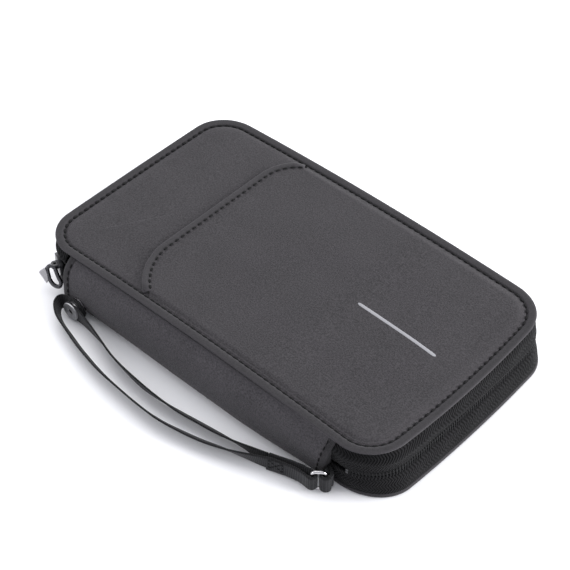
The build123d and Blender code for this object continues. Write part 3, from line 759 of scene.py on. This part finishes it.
# Inner face from bottom to top: (y, z)
SPINE_INNER = [
    (-57.5, 1.25), (-57.1, 2.6), (-56.75, 4.5), (-56.7, 12.5), (-56.75, 20.5), (-56.9, 22.4)]
SECTION_SIZE = len(SPINE_Z) + len(SPINE_INNER)
SPINE_PHASE = np.random.default_rng(11).uniform(0, 6.28, 8)


def spine_section(x, grow=0.0):
    """Closed (y, z) section; grow pushes its outer face towards -Y."""
    stretch = (float(top_z(x, -HALF_WIDTH)) - 1.35) / SPINE_HEIGHT - 1

    def stretched(z):
        return z * (1 + stretch * smoothstep(z, 2, SPINE_HEIGHT))

    to_end = float(smoothstep(x, 25, SPINE_HALF))
    y = SPINE_Y * (1 - to_end) + SPINE_Y_END * to_end
    y = y + float(smoothstep(-x, 55, SPINE_HALF)) * 0.5 * bell(SPINE_Z, 12, 6)
    # shallow puckers below the top seam, then long soft waves
    y = y + 0.10 * np.sin(x / 1.9 + SPINE_PHASE[0]) * bell(SPINE_Z, 21, 2.0)
    y = y + 0.14 * np.sin(x / 6.5 + SPINE_PHASE[1]) * bell(SPINE_Z, 18.5, 3.0)
    wave = (0.18 * np.sin(x / 17.0 + SPINE_PHASE[2] + SPINE_Z / 7)
            + 0.1 * np.sin(x / 8.1 + SPINE_PHASE[3] - SPINE_Z / 5))
    y = y + wave * bell(SPINE_Z, 12, 8)
    inner = np.array(SPINE_INNER)
    inner[:, 1] = stretched(inner[:, 1])
    return np.concatenate([np.stack([y - grow, stretched(SPINE_Z)], 1), inner])


def place_section(x, section):
    """Section in 3-D at x; the wrap's +X end slopes back towards its bottom."""
    depth = np.clip(1 - section[:, 1] / SPINE_HEIGHT, 0, 1)
    slope = -(0.6 + 3.9 * depth) * smoothstep(x, 52, SPINE_HALF)
    return np.concatenate([(x + slope)[:, None], section], 1)


def spine_wrap():
    stations, centre = 170, np.array([-59.0, 12.6])
    verts = []
    for x in np.linspace(-SPINE_HALF, SPINE_HALF, stations):
        shrink = 1 - 0.0625 * float(smoothstep(abs(x), SPINE_HALF - 0.8, SPINE_HALF))
        verts.append(place_section(x, centre + (spine_section(x) - centre) * shrink))
    faces = tube_faces(stations, SECTION_SIZE)
    ob = make("spine_wrap", np.concatenate(verts), faces, SPINE)
    subdivide(ob)
    register(ob, pieces=("spine_panel", "spine_foam_pad", "spine_stiffener"))
    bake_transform(ob)


# Across the hem from the spine's end inwards: (fraction of width, growth)
SPINE_HEM = [
    (0.0, -0.25), (0.04, 0.05), (0.12, 0.3), (0.3, 0.42), (0.6, 0.42), (0.85, 0.34),
    (0.95, 0.12), (1.0, -0.3),
]


def spine_hem(label, side):
    outer, inner = side * (SPINE_HALF + 0.25), side * (SPINE_HALF - 3.6)
    centre = np.array([-58.2, 12.6])
    verts = []
    for f, grow in SPINE_HEM:
        x = outer + (inner - outer) * f
        section = spine_section(np.clip(x, -SPINE_HALF, SPINE_HALF))
        away = section - centre
        section = section + away / (np.linalg.norm(away, axis=1)[:, None] + 1e-9) * grow
        verts.append(place_section(x, section))
    faces = tube_faces(len(SPINE_HEM), SECTION_SIZE)
    ob = make(f"spine_hem_{label}", np.concatenate(verts), faces, BINDING)
    subdivide(ob)
    register(ob, pieces=(f"spine_end_binding_{label}",))
    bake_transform(ob)

    x = inner + side * 0.7
    section = spine_section(x, grow=0.36)[1:len(SPINE_Z) - 1]
    up = np.concatenate([np.zeros((len(section), 1)), section - np.array([-56.0, 12.6])], 1)
    # sloped after placing the outer face only
    ob = stitches(f"spine_hem_{label}_stitches", place_section(x, section), up, None,
                  pitch=3.2, length=2.3, radius=0.36)
    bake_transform(ob)


# -------------------------------------------------------------- inside parts
def rounded_rect(x0, x1, y0, y1, radius):
    """Closed path, anticlockwise from the x1 y0 corner."""
    left, right, low, high = x0 + radius, x1 - radius, y0 + radius, y1 - radius
    corners = ((right, low, -90), (right, high, 0), (left, high, 90), (left, low, 180))
    arcs = [arc(cx, cy, radius, start, start + 90, 8) for cx, cy, start in corners]
    parts = []
    for this, following in zip(arcs, arcs[1:] + arcs[:1]):
        parts += [this, line(this[0][-1], following[0][0], 24, this[1][-1])]
    points, normals = join(*parts)
    return points[:-1], normals[:-1]


def pad(name, outline, z0, z1, edge, body, pieces, material=LINING,
        crown=0.0, down=False, ripple=0.0, inset=2.5):
    """Soft slab with rolled edges and a crowned face, above or (down) below.

    inset stays below the outline's corner radius.
    """
    points, normals = outline
    centre = (points.max(0) + points.min(0)) / 2
    half = (points.max(0) - points.min(0)) / 2
    edge = min(edge, (z1 - z0) * 0.5)

    def ring(offset, z, shrink=1.0, puff=0):
        xy = centre + (points + normals * offset - centre) * shrink
        q = (xy - centre) / half
        k = np.clip(1 - q[:, 0] ** 4, 0, 1) * np.clip(1 - q[:, 1] ** 4, 0, 1)
        waves = ripple * np.sin(xy[:, 0] / 7.0 + 1.3) * np.sin(xy[:, 1] / 9.0)
        return at_height(xy, lambda x, y: z + puff * (crown * k + waves * k))

    shrinks = (0.0, 0.2, 0.4, 0.6, 0.8, 0.95, 1.0)
    turn = [(math.sin(a), math.cos(a)) for a in np.radians((0, 30, 60, 90))]
    rings = [ring(-inset, z0, s, puff=-1 if down else 0) for s in shrinks]
    rings += [ring(-edge + edge * sin, z0 + edge - edge * cos) for sin, cos in turn]
    rings += [ring(-edge + edge * cos, z1 - edge + edge * sin) for sin, cos in turn]
    rings += [ring(-inset, z1, s, puff=0 if down else 1) for s in shrinks[::-1]]
    register(ringed(name, rings, material), body, pieces)


def linings():
    points = LOOP + LOOP_NORMALS * -1.6
    points[:, 1] = np.maximum(points[:, 1], -56.0)
    outline = points, LOOP_NORMALS
    pad("back_lining_sheet", outline, z0=3.66, z1=4.2, edge=0.25, body="back_cover",
        pieces=("back_lining",))
    pad("front_lining_sheet", outline, z0=21.2, z1=21.78, edge=0.25, body="front_cover",
        pieces=("front_lining",), down=True)


def passport_pocket():
    """Pocket on the back lining, hemmed at +X."""
    outline = rounded_rect(-68, 68, -48, 48, radius=5)
    pad("passport_pocket", outline, z0=4.22, z1=9.9, crown=0.8, edge=2.4, body="back_cover",
        pieces=("passport_sleeve",), ripple=0.12)
    pad("passport_pocket_hem", rounded_rect(67.6, 71.0, -46.5, 46.5, radius=1.2),
        z0=9.3, z1=10.7, crown=0.1, edge=0.6, material=HEM,
        body="back_cover", pieces=("passport_sleeve_binding",), inset=1.0)
    seam = closed(at_height(outline[0] - outline[1] * 2.6, 10.02))
    stitches("passport_pocket_stitches", seam, UP, "back_cover", pitch=3.2, length=2.2,
             lift=-0.05)


CARD_HALF = 46.0
CARD_LOW_Y = -45
# (z of the sheet's upper face, y of its mouth)
CARD_SLOTS = [(20.22, 20.0), (18.52, 6.0), (16.82, -8.0)]


def card_slots():
    """Stepped sheets below the front lining, each hemmed along its +Y edge."""
    pad("card_base_sheet", rounded_rect(-CARD_HALF, CARD_HALF, CARD_LOW_Y, 45, radius=3),
        z0=20.3, z1=21.12, edge=0.35, body="front_cover", pieces=("card_base_panel",), down=True)
    for i, (z, y) in enumerate(CARD_SLOTS, 1):
        half = CARD_HALF - 0.2
        pad(f"card_slot_sheet_{i}", rounded_rect(-half, half, CARD_LOW_Y, y, radius=2.2),
            z0=z - 1.6, z1=z, crown=0.15, edge=0.7, body="front_cover",
            pieces=(f"card_slot_panel_{i}",), down=True, inset=1.9)
        half = CARD_HALF - 0.1
        pad(f"card_slot_hem_{i}", rounded_rect(-half, half, y - 2.4, y + 0.15, radius=1.0),
            z0=z - 1.85, z1=z - 0.4, edge=0.6, material=HEM,
            body="front_cover", pieces=(), down=True, inset=0.85)
        x = np.linspace(-CARD_HALF + 1.5, CARD_HALF - 1.5, 40)
        seam = np.stack([x, np.full(40, y - 2.0), np.full(40, z - 1.86)], 1)
        stitches(f"card_slot_stitches_{i}", seam, DOWN, "front_cover", pitch=3.0, length=2.0,
                 radius=0.2, lift=0.0)


# --------------------------------------------------------------- wrist strap
def spline(keys, count):
    """Catmull-Rom through the key rows, resampled evenly by length in the first three columns."""
    def blend(a, b, start, end):
        return ((end - t) * a + (t - start) * b) / (end - start)

    keys = np.asarray(keys, float)
    keys = np.concatenate([2 * keys[:1] - keys[1:2], keys, 2 * keys[-1:] - keys[-2:-1]])
    rows = []
    for i in range(1, len(keys) - 2):
        p0, p1, p2, p3 = quad = keys[i - 1:i + 3]
        gaps = [max(1e-6, np.linalg.norm(b[:3] - a[:3])) ** 0.5 for a, b in zip(quad, quad[1:])]
        t0, t1, t2, t3 = np.cumsum([0.0] + gaps)
        for t in np.linspace(t1, t2, 24, endpoint=False):
            a1, a2, a3 = blend(p0, p1, t0, t1), blend(p1, p2, t1, t2), blend(p2, p3, t2, t3)
            b1, b2 = blend(a1, a2, t0, t2), blend(a2, a3, t1, t3)
            rows.append(blend(b1, b2, t1, t2))
    rows = np.array(rows + [keys[-2]])
    along = lengths(rows[:, :3])
    at = np.linspace(0, along[-1], count)
    return sample(at, along, rows), at


# Webbing section in half widths and half thicknesses: one face, then its mirror
WEB_FACE = [(-1, 0), (-0.99, -0.6), (-0.95, -0.92), (-0.8, -1), (-0.4, -1), (0, -1), (0.4, -1),
            (0.8, -1), (0.95, -0.92), (0.99, -0.6), (1, 0)]
WEB_SECTION = np.array(WEB_FACE + [(w, -t) for w, t in WEB_FACE[-2:0:-1]])


def ribbon(name, keys, body, count, width=7.4, thickness=0.85, pieces=None, round_start=False):
    """Webbing along key rows: x, y, z, tilt in degrees, width factor. Tilt leans its top out."""
    rows, along = spline(keys, count)
    points = rows[:, :3]
    tangent = np.gradient(points, axis=0)
    tangent /= np.linalg.norm(tangent, axis=1)[:, None]
    out = np.cross(tangent, np.array([0, 0, 1.0]))
    out /= np.linalg.norm(out, axis=1)[:, None]
    tilt = np.radians(rows[:, 3])[:, None]
    across = np.cos(tilt) * np.array([0, 0, 1.0]) + np.sin(tilt) * out
    across -= (across * tangent).sum(1)[:, None] * tangent
    across /= np.linalg.norm(across, axis=1)[:, None]
    through = np.cross(tangent, across)

    half = width / 2 * rows[:, 4]
    if round_start:
        chord = np.sqrt(np.maximum(0.0, half**2 - (half - along) ** 2))
        half = np.where(along < half, np.maximum(0.4, chord), half)
    w, t = WEB_SECTION.T
    verts = (points[:, None] + across[:, None] * (half[:, None] * w)[:, :, None]
             + through[:, None] * (thickness / 2 * t)[None, :, None])
    uv = np.stack([np.repeat(along, len(w)), np.tile(w, count)], 1)
    ob = make(name, verts.reshape(-1, 3), tube_faces(count, len(w)), WEBBING, uv=uv)
    register(ob, body, pieces)


def turn_keys(centre, radius, start, end, z, width):
    """Key rows round an upright fold."""
    points, _ = arc(*centre, radius, start, end, 9)
    return [(x, y, z, 0, width) for x, y in points]


# Key rows: x, y, z, tilt, width factor
OUTER_KEYS = [
    (-61.4, -65.6, 4.9, 0, 1.15), (-67.2, -65.6, 4.9, 0, 1.18), (-70.6, -65.6, 4.8, 2, 1.1),
    (-73.0, -65.8, 4.6, 5, 1.0), (-75.0, -66.7, 4.4, 9, 1.0), (-75.6, -68.2, 4.3, 13, 1.0),
    (-74.6, -70.4, 4.2, 17, 1.0), (-72.0, -72.7, 4.1, 19, 1.0), (-68.2, -74.8, 4.0, 22, 1.0),
    (-58.1, -77.9, 3.9, 25, 1.0), (-48.8, -80.5, 3.9, 27, 1.0), (-32.8, -83.7, 3.9, 28, 1.0),
    (-18.9, -85.0, 3.9, 27, 1.0), (-6.2, -85.7, 3.9, 27, 1.0), (5.3, -85.3, 3.8, 34, 1.0),
    (15.3, -83.6, 3.7, 39, 0.95), (24.7, -81.5, 3.7, 41, 0.93), (33.3, -78.8, 3.8, 39, 0.96),
    (41.9, -75.9, 4.0, 27, 1.0), (50.0, -73.0, 4.3, 10, 1.0), (56.0, -71.0, 4.6, 2, 1.0),
]
INNER_KEYS = [
    (-71.8, -68.2, 4.9, 0, 1.2), (-67.2, -68.2, 4.9, 0, 1.24), (-62.6, -68.4, 4.9, 2, 1.1),
    (-57.0, -69.2, 4.7, 7, 1.0), (-45.8, -71.5, 4.4, 17, 1.0), (-37.0, -74.0, 4.3, 21, 1.0),
    (-29.0, -75.6, 4.2, 22, 1.0), (-14.9, -77.3, 4.1, 19, 1.0), (-2.8, -77.4, 4.0, 27, 1.0),
    (8.2, -76.6, 3.8, 38, 0.95), (18.4, -75.2, 3.7, 40, 0.93), (28.4, -73.9, 3.8, 39, 0.95),
    (38.2, -72.4, 4.0, 28, 1.0), (46.0, -71.3, 4.3, 12, 1.0), (52.4, -70.1, 4.6, 2, 1.0),
]
FOLD_KEYS = [
    (53.0, -70.0, 4.7, 0, 1.0), (57.0, -68.9, 5.0, 0, 1.0), (63.0, -67.2, 5.5, 0, 1.0),
    (68.5, -66.0, 5.8, 0, 0.98),
    *turn_keys((73.01, -67.18), radius=1.8, start=100, end=-100, z=5.8, width=0.98),
    (68.5, -68.7, 5.6, 0, 0.98), (63.0, -69.4, 5.2, 0, 1.0), (57.0, -71.0, 4.8, 0, 1.02),
    (53.0, -72.3, 4.6, 0, 1.02),
]
TAB_KEYS = [
    (72.4, -58.9, 7.0, 0, 0.5), (75.4, -59.2, 6.8, 0, 0.55), (77.5, -60.2, 6.4, 0, 0.7),
    (78.5, -61.4, 5.9, 0, 0.9), (78.7, -62.6, 5.6, 0, 1.0),
    *turn_keys((77.27, -63.54), radius=1.95, start=0, end=-180, z=5.4, width=1.0),
    (75.9, -62.2, 5.9, 0, 0.85), (75.7, -61.0, 6.4, 0, 0.7), (72.6, -60.0, 7.0, 0, 0.5),
]
# Stitch rows through the doubled end, two uprights, a cross and a top row: (x, z) to (x, z)
TACK_X = 54.5
TACK_ROWS = [
    ((TACK_X, 2.4), (TACK_X, 8.0)), ((60.5, 2.6), (60.5, 8.2)), ((TACK_X, 2.6), (60.5, 8.0)),
    ((TACK_X, 8.0), (60.5, 2.6)), ((55.0, 8.5), (60.4, 8.5)),
]


def wrist_strap():
    ribbon("strap_outer_webbing", OUTER_KEYS, "wrist_strap", count=170,
           pieces=("strap_outer_strand",), round_start=True)
    ribbon("strap_inner_webbing", INNER_KEYS, "strap_inner", count=150,
           pieces=("strap_inner_strand",), round_start=True)
    ribbon("strap_ring_fold", FOLD_KEYS, "wrist_strap", count=150, width=7.6, thickness=1.15)
    for k, (start, end) in enumerate(TACK_ROWS):
        x, z = np.linspace(start, end, 10).T
        row = np.stack([x, -72.55 + (x - TACK_X) * 0.30, z], 1)
        stitches(f"strap_tack_{k}", row, (0, -1, 0), "wrist_strap", pitch=1.5, length=1.25,
                 radius=0.22, lift=0.0)
    # folded loop at the spine's +X end that holds the ring
    ribbon("ring_tab_loop", TAB_KEYS, "spine", count=90, width=8.6, thickness=1.3,
           pieces=("strap_ring_tab",))


# ------------------------------------------------------------- metal hardware
def dress(piece, material):
    """Keep a CAD piece's shape and give it a material."""
    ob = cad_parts[piece]
    ob.data.materials.clear()
    ob.data.materials.append(material)
    return ob


# Points round the oval wire link
LINK_POINTS = [
    (-90.18, -61.72, 10.96), (-88.67, -62.62, 8.89), (-86.73, -63.39, 6.65),
    (-84.48, -63.16, 4.99), (-82.6, -61.91, 4.57), (-82.89, -60.58, 5.95),
    (-84.6, -60.27, 7.68), (-86.35, -59.75, 9.58), (-87.96, -59.38, 11.24),
    (-89.59, -60.23, 11.79),
]
LINK_WIRE_RADIUS = 0.95
LINK_AXIS = np.array([0.475, -0.517, 0.712])  # steadies the wire's section
# Corners of the tapered pull plate: wide end, then narrow end
TAB_CORNERS = np.array([
    [(-91.98, -65.38, 10.2), (-90.65, -62.26, 11.8)],
    [(-87.38, -65.18, 5.6), (-87.69, -63.04, 7.2)],
])


def pull_link():
    around = 10
    points = spline(LINK_POINTS + LINK_POINTS[:1], 61)[0][:-1]
    verts = []
    for i, point in enumerate(points):
        tangent = points[(i + 1) % len(points)] - points[i - 1]
        tangent /= np.linalg.norm(tangent)
        side = np.cross(tangent, LINK_AXIS)
        side /= np.linalg.norm(side)
        up = np.cross(tangent, side)
        for j in range(around):
            a = 2 * math.pi * j / around
            verts.append(point + LINK_WIRE_RADIUS * (math.cos(a) * side + math.sin(a) * up))
    faces = grid_faces(len(points), around, close_rows=True, close_columns=True)
    ob = make("pull_link_loop", verts, faces, GUNMETAL)
    register(ob, "zip_pull_link_body", ("zip_pull_link",))


def pull_tab():
    rows, columns = 9, 6
    verts = np.concatenate([
        np.linspace(start, end, columns) for start, end in np.linspace(*TAB_CORNERS, rows)])
    ob = make("pull_tab_plate", verts, grid_faces(rows, columns), STEEL)
    solid = ob.modifiers.new("thickness", "SOLIDIFY")
    solid.thickness = 0.0015
    solid.offset = 0
    round_edges(ob, width=0.0004, segments=3, angle=50)
    register(ob, "zip_pull_tab_body", ("zip_pull_tab",))


HARDWARE = {
    "strap_ring": STEEL, "snap_washer": PEWTER, "snap_cap": STEEL, "snap_socket": BLACK,
    "snap_stud": STEEL, "lower_zip_stop": BLACK, "upper_zip_stop": BLACK,
}


def hardware():
    dress("spine_lining", LINING)
    round_edges(dress("zip_slider", BLACK), width=0.00025, segments=2, angle=40)
    pull_link()
    pull_tab()
    for piece, material in HARDWARE.items():
        dress(piece, material)


# -------------------------------------------------------------------- stage
def floor():
    mesh = bpy.data.meshes.new("floor")
    mesh.from_pydata([(-3, -3, 0), (3, -3, 0), (3, 3, 0), (-3, 3, 0)], [], [(0, 1, 2, 3)])
    ob = bpy.data.objects.new("floor", mesh)
    bpy.context.scene.collection.objects.link(ob)
    sh = Shader("floor_white")
    colour = sh.mix(sh.noise(scale=6.0), (0.86, 0.86, 0.875), (0.9, 0.9, 0.91))
    sh.feed(sh.surface, {"Base Color": colour, "Roughness": 0.45, "Specular IOR Level": 0.3})
    mesh.materials.append(sh.material)


def studio():
    scene = bpy.context.scene
    scene.view_settings.view_transform = "Standard"
    scene.world = bpy.data.worlds.new("studio")
    scene.world.use_nodes = True
    colour, strength = scene.world.node_tree.nodes["Background"].inputs[:2]
    colour.default_value = (0.93, 0.94, 1.0, 1)
    strength.default_value = 0.8


def area_light(name, location, size, power):
    """Rectangular light aimed at the origin."""
    light = bpy.data.lights.new(name, "AREA")
    light.shape = "RECTANGLE"
    light.size, light.size_y = size
    light.energy = power
    ob = bpy.data.objects.new(name, light)
    ob.location = location
    ob.rotation_euler = (-Vector(location)).to_track_quat("-Z", "Y").to_euler()
    bpy.context.scene.collection.objects.link(ob)


def camera():
    data = bpy.data.cameras.new("camera")
    data.sensor_width = 36.0
    data.lens = 101.555
    data.clip_start = 0.01
    ob = bpy.data.objects.new("camera", data)
    ob.location = (0.33141, -0.36417, 0.51510)
    backwards = Vector((0.47505, -0.51723, 0.71190))
    ob.rotation_euler = backwards.to_track_quat("Z", "Y").to_euler()
    bpy.context.scene.collection.objects.link(ob)
    bpy.context.scene.camera = ob


# -------------------------------------------------------------------- build
front_cover()
slip_pocket()
slip_pocket_hem()
printed_bar()
back_cover()
gussets()
coil("lower_coil_loops", z0=9.3, z1=11.45, slant_side=1, body="back_cover",
     piece="lower_zip_coil")
coil("upper_coil_loops", z0=11.55, z1=13.7, slant_side=-1, body="front_cover",
     piece="upper_zip_coil")
spine_wrap()
spine_hem("left", -1)
spine_hem("right", 1)
linings()
passport_pocket()
card_slots()
wrist_strap()
hardware()
floor()
studio()
area_light("key", location=(-0.45, 0.45, 1.0), size=(1.4, 1.4), power=12.5)
area_light("fill", location=(-0.95, -0.9, 0.6), size=(1.0, 0.8), power=6.0)
area_light("rim", location=(1.05, 0.8, 0.42), size=(0.9, 0.7), power=32.0)
camera()
